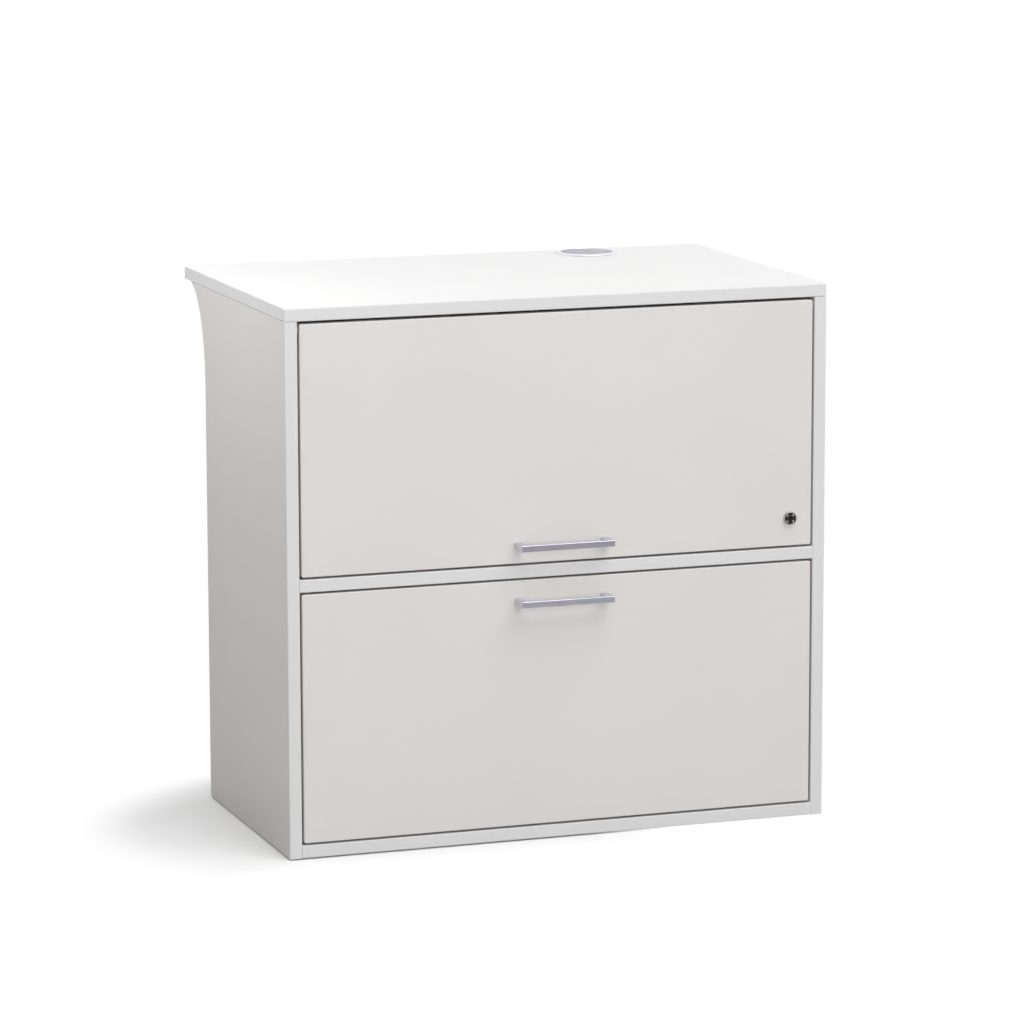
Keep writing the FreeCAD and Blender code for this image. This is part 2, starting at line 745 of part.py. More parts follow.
soften(housing, block, "lift_round", faces_room)
shaft_seat = rod("lift_shaft_seat", "x", ("shaft_y", "shaft_z"), "lift_shaft_wide / 2 + run_play",
                 ("lift_inner", "lift_inner + lift_shaft_long + end_play"))
lift_spots = {
    "high": ("front_y + lift_front + lift_long - lift_screw_rear", "lift_top - lift_screw_edge"),
    "low": ("front_y + lift_front + lift_long - lift_screw_rear", "lift_low + lift_screw_edge"),
    "front": ("front_y + lift_front + lift_screw_front", "lift_top - lift_screw_edge"),
}
lift_holes = [shaft_seat]
lift_screws = []
for tag, spot in lift_spots.items():
    lift_holes.append(rod("lift_hole_" + tag, "x", spot, screw_hole, ("lift_inner", "inner_half")))
    for side in SIDES:
        shaft = rod(f"lift_screw_shaft_{tag}_{side}", "x", spot, "screw_wide / 2",
                    span(side, "lift_inner", "inner_half + screw_in_board"))
        head = rod(f"lift_screw_head_{tag}_{side}", "x", spot, "screw_head_wide / 2",
                   span(side, "lift_inner - screw_head_high", "lift_inner"))
        lift_screws.append(join(f"lift_screw_{tag}_{side}", [shaft, head]))
        side_hollows[side].append(rod(f"lift_pilot_{tag}_{side}", "x", spot, screw_hole,
                                      span(side, "inner_half", "inner_half + screw_in_board + end_play")))
keep("lift_unit_right", carve("lift_unit_right", housing, lift_holes))
keep("lift_unit_left", mirror("lift_unit_left", NODES["lift_unit_right"]))
keep("lift_unit_screws", gather("lift_unit_screws", lift_screws))

shaft_spot = ("shaft_y - front_y", "shaft_z")
elbow_spot = ("elbow_y - front_y", "elbow_z")
stud_spot = ("stud_y - front_y", "stud_z")
arm = start_body("lift_arm", ("arm_inner", "front_y", "0"))
web = [
    (f"{elbow_spot[0]} - lift_arm_half", "elbow_z"),
    (f"{elbow_spot[0]} + lift_arm_half", "elbow_z"),
    (f"{shaft_spot[0]} + lift_arm_half", "shaft_z"),
    (f"{shaft_spot[0]} - lift_arm_half", "shaft_z"),
]
pad(arm, draw(arm, "YZ_Plane", [web]), "lift_plate")
pad(arm, draw_circle(arm, "YZ_Plane", shaft_spot, "lift_hub_wide / 2"), "lift_plate")
pad(arm, draw_circle(arm, "YZ_Plane", elbow_spot, "lift_eye_wide / 2"), "lift_plate")
pad(arm, draw_circle(arm, "YZ_Plane", shaft_spot, "lift_shaft_wide / 2"),
    "lift_plate + lift_plate_gap + lift_shaft_long")
elbow_hole = rod("lift_elbow_hole", "x", ("elbow_y", "elbow_z"), pin_hole, ("arm_inner", "arm_outer"))
keep("lift_arm_right", carve("lift_arm_right", arm, [elbow_hole]))
keep("lift_arm_left", mirror("lift_arm_left", NODES["lift_arm_right"]))

link = start_body("lift_link_right", ("link_inner", "front_y", "0"))
web = [
    (f"{stud_spot[0]} - link_half", "stud_z - link_half"),
    (f"{elbow_spot[0]} - link_half", "elbow_z - link_half"),
    (f"{elbow_spot[0]} + link_half", "elbow_z + link_half"),
    (f"{stud_spot[0]} + link_half", "stud_z + link_half"),
]
pad(link, draw(link, "YZ_Plane", [web]), "lift_plate")
for spot in (stud_spot, elbow_spot):
    pad(link, draw_circle(link, "YZ_Plane", spot, "link_eye_wide / 2"), "lift_plate")
    pad(link, draw_circle(link, "YZ_Plane", spot, "pin_wide / 2"), "2 * lift_plate + lift_plate_gap")
keep("lift_link_right", link)
keep("lift_link_left", mirror("lift_link_left", link))

brackets = []
bracket_screws = []
for side in SIDES:
    plate = slab("bracket_plate_" + side, span(side, "arm_outer - bracket_wide", "arm_outer"),
                 ("inside_y", "bracket_face"), ("stud_z - bracket_high / 2", "stud_z + bracket_high / 2"))
    eye = span(side, "arm_inner", "arm_outer")
    lug = slab("bracket_lug_" + side, eye, ("inside_y", "stud_y + bracket_lug_past"),
               ("stud_z - bracket_lug_high / 2", "stud_z + bracket_lug_high / 2"))
    holes = [rod("stud_hole_" + side, "x", ("stud_y", "stud_z"), pin_hole, eye)]
    for tag, shift in (("high", "+"), ("low", "-")):
        spot = (at_side(side, "bracket_screw_x"), f"stud_z {shift} bracket_screw_apart / 2")
        holes.append(rod(f"bracket_hole_{side}_{tag}", "y", spot, screw_hole, ("inside_y", "bracket_face")))
        shaft = rod(f"bracket_shaft_{side}_{tag}", "y", spot, "screw_wide / 2",
                    ("inside_y - screw_in_board", "bracket_face"))
        head = rod(f"bracket_head_{side}_{tag}", "y", spot, "screw_head_wide / 2",
                   ("bracket_face", "bracket_face + screw_head_high"))
        bracket_screws.append(join(f"bracket_screw_{side}_{tag}", [shaft, head]))
        flap_hollows.append(rod(f"bracket_pilot_{side}_{tag}", "y", spot, screw_hole,
                                ("inside_y - screw_in_board - end_play", "inside_y")))
    brackets.append(carve("bracket_" + side, join("bracket_blank_" + side, [plate, lug]), holes))
keep("flap_brackets", gather("flap_brackets", brackets))
keep("bracket_screws", gather("bracket_screws", bracket_screws))

# Flap stops, pegged into the shelf.
stops = []
for side in SIDES:
    block = slab("stop_block_" + side, span(side, "stop_x - stop_wide / 2", "stop_x + stop_wide / 2"),
                 ("inside_y + stop_play", "inside_y + stop_play + stop_deep"),
                 ("shelf_high", "shelf_high + stop_high"))
    spot = (at_side(side, "stop_x"), "inside_y + stop_play + stop_deep / 2")
    peg = rod("stop_peg_" + side, "z", spot, "stop_peg / 2",
              ("shelf_high - stop_peg_long", "shelf_high + stop_high"))
    stops.append(join("stop_" + side, [block, peg]))
    board_hollows["shelf"].append(rod("stop_hole_" + side, "z", spot, "stop_peg / 2 + fit_play",
                                      ("shelf_high - stop_peg_long - end_play", "shelf_high")))
keep("flap_stops", gather("flap_stops", stops))

# Lock: the cam points up when open and catches behind the strike when turned to the right.
lock_spot = ("lock_x", "lock_z")
head = rod("lock_head", "y", lock_spot, "lock_head_wide / 2", ("front_y - lock_proud", "front_y"))
barrel = rod("lock_barrel", "y", lock_spot, "lock_barrel_wide / 2", ("front_y - lock_proud", "lock_rear"))
cap_seat = rod("lock_cap_seat", "y", lock_spot, "plug_cap_wide / 2 + run_play",
               ("front_y - lock_proud", "front_y - lock_proud + plug_recess + plug_cap_thick + fit_play"))
stem_seat = rod("lock_stem_seat", "y", lock_spot, "plug_stem_wide / 2 + run_play",
                ("front_y - lock_proud", "lock_rear"))
keep("lock_housing", carve("lock_housing", join("lock_blank", [head, barrel]), [cap_seat, stem_seat]))
lock_hole = "lock_barrel_wide / 2 + fit_play"
flap_hollows.append(rod("lock_hole", "y", lock_spot, lock_hole, ("front_y", "inside_y")))

nut = doc.addObject("Part::Prism", "lock_nut_blank")
nut.Polygon = 6
nut.setExpression("Circumradius", formula("lock_nut_across / 2"))
nut.setExpression("Height", formula("lock_nut_thick"))
lay(nut, "y", lock_spot, "inside_y")
nut_hole = rod("lock_nut_hole", "y", lock_spot, lock_hole, ("inside_y", "inside_y + lock_nut_thick"))
keep("lock_nut", carve("lock_nut", nut, [nut_hole]))

plug_front = "front_y - lock_proud + plug_recess"
cap = rod("plug_cap", "y", lock_spot, "plug_cap_wide / 2", (plug_front, f"{plug_front} + plug_cap_thick"))
stem = rod("plug_stem", "y", lock_spot, "plug_stem_wide / 2", (plug_front, "cam_face"))
seat = rod("plug_seat", "y", lock_spot, "cam_seat_wide / 2", (plug_front, "cam_rear_face"))
slot = slab("key_slot", ("lock_x - key_slot_wide / 2", "lock_x + key_slot_wide / 2"),
            (plug_front, f"{plug_front} + key_slot_deep"),
            ("lock_z - key_slot_high / 2", "lock_z + key_slot_high / 2"))
notches = [slot, rod("plug_screw_hole", "y", lock_spot, screw_hole,
                     ("cam_rear_face - screw_in_board - end_play", "cam_rear_face"))]
diagonal = "plug_cap_wide / 2 / sqrt(2)"
for sideways in ("+", "-"):
    for upward in ("+", "-"):
        spot = (f"lock_x {sideways} {diagonal}", f"lock_z {upward} {diagonal}")
        notches.append(rod("plug_notch", "y", spot, "plug_notch_wide / 2",
                           (plug_front, f"{plug_front} + plug_notch_deep")))
keep("lock_plug", carve("lock_plug", join("plug_blank", [cap, stem, seat]), notches))

boss = rod("cam_boss", "y", lock_spot, "cam_boss_wide / 2", ("cam_face", "cam_rear_face"))
tongue = slab("cam_tongue", ("lock_x - cam_plate_wide / 2", "lock_x + cam_plate_wide / 2"),
              ("cam_face", "cam_rear_face"), ("lock_z", "lock_z + cam_plate_long"))
cam_hole = rod("cam_hole", "y", lock_spot, "cam_seat_wide / 2 + fit_play", ("cam_face", "cam_rear_face"))
keep("lock_cam", carve("lock_cam", join("cam_blank", [boss, tongue]), [cam_hole]))
shaft = rod("cam_screw_shaft", "y", lock_spot, "screw_wide / 2",
            ("cam_rear_face - screw_in_board", "cam_rear_face"))
head = rod("cam_screw_head", "y", lock_spot, "cam_boss_wide / 2 - 2 * fit_play",
           ("cam_rear_face", "cam_rear_face + screw_head_high"))
keep("cam_screw", join("cam_screw", [shaft, head]))

tall = ("lock_z - strike_high / 2", "lock_z + strike_high / 2")
foot = slab("strike_foot", ("inner_half - strike_plate", "inner_half"),
            ("strike_face", "strike_face + strike_deep"), tall)
catch = slab("strike_catch_leg", ("inner_half - strike_catch", "inner_half"),
             ("strike_face", "strike_face + strike_plate"), tall)
strike_holes = []
strike_screws = []
for tag, shift in (("high", "+"), ("low", "-")):
    spot = ("strike_screw_y", f"lock_z {shift} strike_screw_apart / 2")
    face = "inner_half - strike_plate"
    strike_holes.append(rod("strike_hole_" + tag, "x", spot, screw_hole, (face, "inner_half")))
    shaft = rod("strike_shaft_" + tag, "x", spot, "screw_wide / 2", (face, "inner_half + screw_in_board"))
    head = rod("strike_head_" + tag, "x", spot, "screw_head_wide / 2", (f"{face} - screw_head_high", face))
    strike_screws.append(join("strike_screw_" + tag, [shaft, head]))
    side_hollows["right"].append(rod("strike_pilot_" + tag, "x", spot, screw_hole,
                                     ("inner_half", "inner_half + screw_in_board + end_play")))
keep("lock_strike", carve("lock_strike", join("strike_blank", [foot, catch]), strike_holes))
keep("strike_screws", gather("strike_screws", strike_screws))

# Handles: straight bow handles, screwed on from behind.
handle_long = "(handle_centres + handle_leg)"
plan = [
    ("0", "0"),
    (handle_long, "0"),
    (handle_long, "handle_reach"),
    ("handle_centres", "handle_reach"),
    ("handle_centres", "handle_bar"),
    ("handle_leg", "handle_bar"),
    ("handle_leg", "handle_reach"),
    ("0", "handle_reach"),
]
drawer_front_hollows = []
for front, hollows in (("flap", flap_hollows), ("drawer", drawer_front_hollows)):
    height = f"{front}_handle_z"
    body = start_body(front + "_bow",
                      (f"-{handle_long} / 2", "front_y - handle_reach", f"{height} - handle_high / 2"))
    bow = pad(body, draw(body, "XY_Plane", [plan]), "handle_high")
    rear = bow.Shape.BoundBox.YMax
    soften(body, bow, "handle_round",
           lambda edge, rear=rear: any(not near(vertex.Y, rear) for vertex in edge.Vertexes))
    holes = []
    screws = []
    for side in SIDES:
        spot = (at_side(side, "handle_centres / 2"), height)
        holes.append(rod(f"{front}_handle_hole_{side}", "y", spot, screw_hole,
                         ("front_y - screw_in_board - end_play", "front_y")))
        hollows.append(rod(f"{front}_handle_way_{side}", "y", spot, screw_hole, ("front_y", "inside_y")))
        shaft = rod(f"{front}_handle_shaft_{side}", "y", spot, "screw_wide / 2",
                    ("front_y - screw_in_board", "inside_y"))
        head = rod(f"{front}_handle_head_{side}", "y", spot, "screw_head_wide / 2",
                   ("inside_y", "inside_y + screw_head_high"))
        screws.append(join(f"{front}_handle_screw_{side}", [shaft, head]))
    keep(front + "_handle", carve(front + "_handle", body, holes))
    keep(front + "_handle_screws", gather(front + "_handle_screws", screws))

# Drawer box: sides, inner front and back, doweled, with a grooved-in bottom and file rails.
drawer_dowels = []
drawer_screws = []
cross_hollows = {"inner_front": [], "back": []}
box_tall = ("box_low", "box_high")
cross_y = {
    "inner_front": ("inside_y", "inside_y + drawer_board"),
    "back": ("box_rear - drawer_board", "box_rear"),
}
floor_tall = ("floor_low - fit_play", "floor_high + fit_play")
floor_y = ("inside_y + drawer_board - groove_deep", "box_rear - drawer_board + groove_deep")
for side in SIDES:
    for cross, (low, high) in cross_y.items():
        for level in ("low", "high"):
            tag = f"{side}_{cross}_{level}"
            spot = (f"({low} + {high}) / 2", f"box_low + drawer_dowel_{level}")
            whole = span(side, "box_inner - dowel_in_end", "box_inner + drawer_dowel_in")
            inside = span(side, "box_inner - dowel_in_end - end_play", "box_inner")
            face = span(side, "box_inner", "box_inner + drawer_dowel_in + end_play")
            hole = "dowel_wide / 2 + fit_play"
            drawer_dowels.append(rod("box_dowel_" + tag, "x", spot, "dowel_wide / 2", whole))
            cross_hollows[cross].append(rod("box_dowel_end_" + tag, "x", spot, hole, inside))
            drawer_side_hollows[side].append(rod("box_dowel_face_" + tag, "x", spot, hole, face))
    groove = span(side, "box_inner", "box_inner + groove_deep + end_play")
    groove_y = (f"{floor_y[0]} - end_play", f"{floor_y[1]} + end_play")
    drawer_side_hollows[side].append(slab("side_floor_groove_" + side, groove, groove_y, floor_tall))
    for level in ("low", "high"):
        tag = f"{side}_{level}"
        spot = (at_side(side, "front_screw_x"), f"box_low + drawer_dowel_{level}")
        face = "inside_y + drawer_board"
        shaft = rod("front_screw_shaft_" + tag, "y", spot, "screw_wide / 2",
                    ("inside_y - front_screw_in", face))
        head = rod("front_screw_head_" + tag, "y", spot, "screw_head_wide / 2",
                   (face, f"{face} + screw_head_high"))
        drawer_screws.append(join("front_screw_" + tag, [shaft, head]))
        cross_hollows["inner_front"].append(rod("front_screw_way_" + tag, "y", spot, screw_hole,
                                                ("inside_y", face)))
        drawer_front_hollows.append(rod("front_screw_pilot_" + tag, "y", spot, screw_hole,
                                        ("inside_y - front_screw_in - end_play", "inside_y")))
cross_hollows["inner_front"].append(slab("inner_front_floor_groove", ("-(box_inner)", "box_inner"),
                                         (f"{floor_y[0]} - end_play", "inside_y + drawer_board"), floor_tall))
cross_hollows["back"].append(slab("back_floor_groove", ("-(box_inner)", "box_inner"),
                                  ("box_rear - drawer_board", f"{floor_y[1]} + end_play"), floor_tall))

# File rails: as many lanes of hanging files as the box has room for, side by side about its middle.
rails = []
lane_pitch = "(rail_spacing + rail_middle_gap)"
lane_count = int(number(f"(2 * (box_inner - rail_side_gap) + rail_middle_gap) / {lane_pitch}"))
for lane in range(lane_count):
    lane_middle = f"{lane_pitch} * ({lane} - {lane_count - 1} / 2)"
    for side, shift in zip(SIDES, ("-", "+")):
        tag = f"{lane}_{side}"
        line = f"{lane_middle} {shift} rail_spacing / 2"
        across = (f"{line} - rail_thick / 2", f"{line} + rail_thick / 2")
        rails.append(slab("rail_" + tag, across, ("rail_front", "rail_rear"),
                          ("rail_low", "rail_low + rail_high")))
        wide = (f"{across[0]} - fit_play", f"{across[1]} + fit_play")
        cross_hollows["inner_front"].append(slab("rail_notch_front_" + tag, wide,
                                                 ("rail_front - fit_play", "inside_y + drawer_board"),
                                                 ("rail_low", "box_high")))
        cross_hollows["back"].append(slab("rail_notch_rear_" + tag, wide,
                                          ("box_rear - drawer_board", "rail_rear + fit_play"),
                                          ("rail_low", "box_high")))
keep("file_rails", gather("file_rails", rails))
for side in SIDES:
    board = slab("drawer_side_blank_" + side, span(side, "box_inner", "box_half"),
                 ("inside_y", "box_rear"), box_tall)
    keep("drawer_side_" + side, carve("drawer_side_" + side, board, drawer_side_hollows[side]))
for cross, deep in cross_y.items():
    board = slab(f"drawer_{cross}_blank", ("-(box_inner)", "box_inner"), deep, box_tall)
    keep("drawer_" + cross, carve("drawer_" + cross, board, cross_hollows[cross]))
keep("drawer_bottom", slab("drawer_bottom", ("-(box_inner + groove_deep)", "box_inner + groove_deep"),
                           floor_y, ("floor_low", "floor_high")))
keep("drawer_dowels", gather("drawer_dowels", drawer_dowels))
keep("drawer_front_screws", gather("drawer_front_screws", drawer_screws))

# The two fronts: a board with a band round its four edges.
fronts = (("flap", "flap_panel", flap_hollows), ("drawer", "drawer_front", drawer_front_hollows))
for front, node, hollows in fronts:
    low = front + "_low"
    board = slab(node + "_blank", ("-(front_half - band_thick)", "front_half - band_thick"),
                 ("front_y", "inside_y"), (f"{low} + band_thick", f"{front}_high - band_thick"))
    keep(node, carve(node, board, hollows))
    band = start_body(front + "_band", ("-(front_half)", "front_y", low))
    rim = rectangle(("0", "0"), ("2 * front_half", "front_high"))
    core = rectangle(("band_thick", "band_thick"), ("2 * front_half - band_thick", "front_high - band_thick"))
    ring = pad(band, draw(band, "XZ_Plane", [rim, core]), "board_thick", reverse=True)
    box = ring.Shape.BoundBox
    ring = soften(band, ring, "corner_round",
                  lambda edge, box=box: on_rim(edge, box) and near(edge.Length, box.YLength))
    soften(band, ring, "band_round", lambda edge, box=box: on_rim(edge, box))
    if front == "flap":
        keep("flap_edge", carve("flap_edge", band, flap_band_holes))
    else:
        keep("drawer_front_edge", band)

# Carcass boards with their hollows.
for side in SIDES:
    across = span(side, "inner_half", "half_width")
    board = slab("side_blank_" + side, across, ("front_y + band_thick", "rear_y"), ("base_low", "top_low"))
    ear = slab("ear_blank_" + side, across, ("rear_y", "flare_rear"), ("top_low - flare_high", "top_low"))
    sweep = oval("ear_sweep_" + side, across, ("rear_y + flare_reach", "top_low - flare_high"),
                 ("flare_reach", "flare_high"))
    panel = join("side_whole_" + side, [board, carve("ear_" + side, ear, [sweep])])
    panel.Refine = True
    keep("side_panel_" + side, carve("side_panel_" + side, panel, side_hollows[side]))
    strip = start_body("side_edge_" + side, (across[0], "front_y", "base_low"))
    solid = pad(strip, draw(strip, "XY_Plane", [rectangle(("0", "0"), ("board_thick", "band_thick"))]),
                "top_low - base_low")
    soften(strip, solid, "band_round",
           lambda edge: all(near(vertex.Y, 0) for vertex in edge.Vertexes) and near(
               edge.Vertexes[0].X, edge.Vertexes[-1].X))
    keep("side_edge_" + side, strip)
for board, low in BOARDS.items():
    rear = "rear_y" if board == "base" else "back_front - fit_play"
    blank = slab(board + "_blank", ("-(inner_half)", "inner_half"), ("front_y + band_thick", rear),
                 (low, f"{low} + board_thick"))
    node = "base_panel" if board == "base" else "middle_shelf"
    keep(node, carve(node, blank, board_hollows[board]))
    strip = start_body(board + "_edge", ("-(inner_half)", "front_y", low))
    solid = pad(strip, draw(strip, "YZ_Plane", [rectangle(("0", "0"), ("band_thick", "board_thick"))]),
                "2 * inner_half")
    soften(strip, solid, "band_round",
           lambda edge: all(near(vertex.Y, 0) for vertex in edge.Vertexes) and near(
               edge.Vertexes[0].Z, edge.Vertexes[-1].Z))
    keep(board + "_edge", strip)

# Worktop, its band and the cable grommet.
top_hollows.append(rod("grommet_hole", "z", ("grommet_x", "grommet_y"), "grommet_outer + fit_play",
                       ("top_low", "top_high")))
blank = slab("worktop_blank", ("-(half_width - band_thick)", "half_width - band_thick"),
             ("front_y + band_thick", "front_y + top_depth - band_thick"), ("top_low", "top_high"))
keep("worktop", carve("worktop", blank, top_hollows))
band = start_body("worktop_edge", ("-(half_width)", "front_y", "top_low"))
rim = rectangle(("0", "0"), ("overall_width", "top_depth"))
core = rectangle(("band_thick", "band_thick"), ("overall_width - band_thick", "top_depth - band_thick"))
ring = pad(band, draw(band, "XY_Plane", [rim, core]), "board_thick")
box = ring.Shape.BoundBox
soften(band, ring, "band_round", lambda edge: on_rim(edge, box))
keep("worktop_edge", band)

sleeve_high = "(board_thick + grommet_below)"
profile = [
    ("grommet_bore / 2", "0"),
    ("grommet_outer", "0"),
    ("grommet_outer", sleeve_high),
    ("grommet_flange", sleeve_high),
    ("grommet_flange", f"{sleeve_high} + grommet_edge"),
    ("grommet_bore / 2 + grommet_bevel", f"{sleeve_high} + grommet_lip"),
    ("grommet_bore / 2", f"{sleeve_high} + grommet_lip - grommet_bevel"),
]
grommet = start_body("cable_grommet", ("grommet_x", "grommet_y", "top_low - grommet_below"))
turn(grommet, draw(grommet, "XZ_Plane", [profile]))
keep("cable_grommet", grommet)

doc.recompute()

for item in doc.Objects:
    for word in ("Invalid", "Error"):
        if word in item.State:
            raise SystemExit(f"{item.Label} did not rebuild")
os.makedirs("parts", exist_ok=True)
for node, piece in NODES.items():
    if piece.Shape.isNull() or not piece.Shape.isValid():
        raise SystemExit(f"{node} has no sound shape")
    piece.Shape.exportStep(f"parts/{node}.step")
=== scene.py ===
"""Looks of the office sideboard: camera, light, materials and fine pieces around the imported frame."""

import json
import math

import bmesh
import bpy
from mathutils import Matrix, Vector


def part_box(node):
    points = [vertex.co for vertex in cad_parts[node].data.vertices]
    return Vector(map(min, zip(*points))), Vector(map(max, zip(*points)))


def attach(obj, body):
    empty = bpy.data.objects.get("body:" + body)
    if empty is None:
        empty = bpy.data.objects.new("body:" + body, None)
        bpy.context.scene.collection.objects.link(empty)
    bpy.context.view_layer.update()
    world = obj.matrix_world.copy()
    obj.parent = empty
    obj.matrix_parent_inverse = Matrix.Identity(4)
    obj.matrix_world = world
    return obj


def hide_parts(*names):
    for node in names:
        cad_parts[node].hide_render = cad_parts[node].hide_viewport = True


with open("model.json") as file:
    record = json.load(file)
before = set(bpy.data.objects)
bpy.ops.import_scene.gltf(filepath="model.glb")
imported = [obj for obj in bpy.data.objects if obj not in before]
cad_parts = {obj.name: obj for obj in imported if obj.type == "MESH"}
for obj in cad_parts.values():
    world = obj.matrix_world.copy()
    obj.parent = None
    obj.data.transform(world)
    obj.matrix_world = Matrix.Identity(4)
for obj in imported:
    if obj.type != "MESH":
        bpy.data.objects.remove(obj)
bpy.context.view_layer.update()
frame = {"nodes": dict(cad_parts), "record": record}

NODES = frame["nodes"]
SUBPARTS = frame["record"]["subparts"]
BODIES = frame["record"]["behaviour"]["bodies"]
SLOT_OF = {subpart["node"]: subpart["material_slot"] for subpart in SUBPARTS}
BODY_OF = {node: body for body, members in BODIES.items() for node in members}
MM = 0.001
AXIS_Y = 1
AXIS_Z = 2

# Camera: the photograph's viewing angle, in metres and degrees, and its lens in millimetres.
CAMERA_PLACE = (-2.1993, -6.3180, 1.6095)
CAMERA_TURN = (79.987, 0.124, -19.304)
CAMERA_LENS = 165.02
CAMERA_SENSOR = 36.0
CAMERA_REACH = 200.0

# Colours of the finishes, as linear light.
WARM_GREY = (0.712, 0.684, 0.664)
COOL_GREY = (0.708, 0.706, 0.710)
TOP_WHITE = (0.86, 0.86, 0.855)
SILVER = (0.67, 0.66, 0.75)
PALE_SILVER = (0.86, 0.86, 0.90)
NICKEL = (0.50, 0.48, 0.45)
ZINC = (0.62, 0.63, 0.65)
LOCK_BLACK = (0.022, 0.011, 0.015)
PLASTIC_GREY = (0.30, 0.31, 0.32)
BEECH_DARK = (0.42, 0.27, 0.14)
BEECH_LIGHT = (0.58, 0.40, 0.23)

# The values of a noise lie mostly between these two.
NOISE_LOW = 0.3
NOISE_HIGH = 0.7

# Light: where the lamps point, and how bright the room looks to each kind of ray.
LAMP_AIM = (0, 0, 0.4)
SKY = 0.10
WHITE = 1.0
DARK_SIDE = 0.41

# In reflections the room's dark side in front turns white between these directions along Y.
DARK_TURN = -0.7
WHITE_TURN = -0.1

# Floor: its half width in metres, and what it sends back to the camera and to the object.
FLOOR_REACH = 40.0
FLOOR_SEEN = 0.885
FLOOR_GLOW = 0.042
FLOOR_BOUNCE = 0.5

# The floor's shade gives way to plain white round an oval and along a line in front.
SHADE_MIDDLE = (-0.21, -0.045)
SHADE_HALF_WIDE = 0.42
SHADE_HALF_DEEP = 0.37
SHADE_RING = 0.76
WHITE_RING = 1.06
SHADE_FRONT = -0.242
WHITE_FRONT = -0.302

# In reflections the floor's white turns dark between these places along Y.
LIT_EDGE = -0.9
UNLIT_EDGE = -1.5


# Finishes

class Tree:
    """The nodes of a material or of the world."""

    def __init__(self, owner):
        owner.use_nodes = True
        self.nodes = owner.node_tree.nodes
        self.links = owner.node_tree.links

    def put(self, node, **inputs):
        """Gives each input a plain value, or a link where the value is another node's output."""
        for word, value in inputs.items():
            socket = node.inputs[word.replace("_", " ").title()]
            if isinstance(value, bpy.types.NodeSocket):
                self.links.new(value, socket)
            else:
                socket.default_value = value
        return node

    def add(self, kind, **inputs):
        """Adds a node and gives its inputs their values."""
        return self.put(self.nodes.new("ShaderNode" + kind), **inputs)

    def join(self, kind, *values):
        """Adds a node whose inputs share a name, and links the values to them in order."""
        node = self.add(kind)
        for socket, value in zip(node.inputs, values):
            self.links.new(value, socket)
        return node

    def ramp(self, value, start, end, low, high, soft=False):
        """Goes from low to high while a value goes from start to end."""
        node = self.add("MapRange", value=value, from_min=start, from_max=end, to_min=low, to_max=high)
        if soft:
            node.interpolation_type = "SMOOTHSTEP"
        return node.outputs["Result"]


class Finish(Tree):
    """A material and the nodes that make its surface."""

    def __init__(self, name, metallic=0.0):
        self.material = bpy.data.materials.new(name)
        super().__init__(self.material)
        self.shader = self.put(self.nodes["Principled BSDF"], metallic=metallic)

    def place(self, stretch=(1, 1, 1)):
        """The piece's own coordinates in metres, stretched along each axis."""
        spot = self.add("TexCoord").outputs["Object"]
        return self.add("Mapping", vector=spot, scale=stretch).outputs["Vector"]

    def noise(self, where, scale, detail=3.0, rough=0.5):
        """A noise over coordinates, with its scale per metre."""
        node = self.add("TexNoise", vector=where, scale=scale, detail=detail, roughness=rough)
        return node.outputs["Fac"]

    def gloss(self, value, low, high):
        """Lets the roughness run from low to high."""
        self.put(self.shader, roughness=self.ramp(value, NOISE_LOW, NOISE_HIGH, low, high))

    def tint(self, value, dark, light):
        """Lets the colour drift between two near shades."""
        node = self.add("ValToRGB", fac=value)
        stops = ((NOISE_LOW, dark), (NOISE_HIGH, light))
        for element, (position, colour) in zip(node.color_ramp.elements, stops):
            element.position = position
            element.color = (*colour, 1.0)
        self.put(self.shader, base_color=node.outputs["Color"])

    def relief(self, value, height):
        """Raises the surface by a height in metres."""
        node = self.add("Bump", height=value, distance=height)
        self.put(self.shader, normal=node.outputs["Normal"])


def shades(colour, dark, light):
    """A darker and a lighter shade of a colour."""
    return [tuple(part * factor for part in colour) for factor in (dark, light)]


def drawn(along, factor):
    """A stretch that draws a texture out along one axis."""
    return tuple(factor if axis == along else 1.0 for axis in "xyz")


def melamine(name, colour):
    """Melamine-faced board: a fine pearl texture and a faint drift of colour and gloss."""
    finish = Finish(name)
    where = finish.place()
    drift = finish.noise(where, scale=5.0)
    pearl = finish.noise(where, scale=900.0, detail=2.0, rough=0.6)
    finish.tint(drift, *shades(colour, dark=0.988, light=1.012))
    finish.gloss(drift, low=0.44, high=0.52)
    finish.relief(pearl, height=0.04 * MM)
    return finish.material


def banding(name, colour):
    """Plastic edge band: satin, with a faint grain from its rolling."""
    finish = Finish(name)
    where = finish.place()
    drift = finish.noise(where, scale=14.0)
    grain = finish.noise(where, scale=1400.0, detail=2.0)
    finish.tint(drift, *shades(colour, dark=0.99, light=1.01))
    finish.gloss(drift, low=0.38, high=0.46)
    finish.relief(grain, height=0.02 * MM)
    return finish.material


def brushed(name, colour, along):
    """Brushed metal: pale and dark streaks along one axis, and fine lines in them."""
    finish = Finish(name, metallic=1.0)
    lines = finish.noise(finish.place(drawn(along, factor=0.004)), scale=5000.0, rough=0.6)
    streaks = finish.noise(finish.place(drawn(along, factor=0.015)), scale=900.0)
    finish.tint(streaks, *shades(colour, dark=0.84, light=1.12))
    finish.gloss(lines, low=0.22, high=0.34)
    finish.relief(lines, height=0.006 * MM)
    return finish.material


def plated(name, colour, rough=(0.26, 0.36), grain=700.0, height=0.003 * MM):
    """Zinc or nickel plate: a soft mottle in its gloss."""
    finish = Finish(name, metallic=1.0)
    mottle = finish.noise(finish.place(), scale=grain, detail=4.0, rough=0.6)
    finish.tint(mottle, *shades(colour, dark=0.96, light=1.03))
    finish.gloss(mottle, *rough)
    finish.relief(mottle, height)
    return finish.material


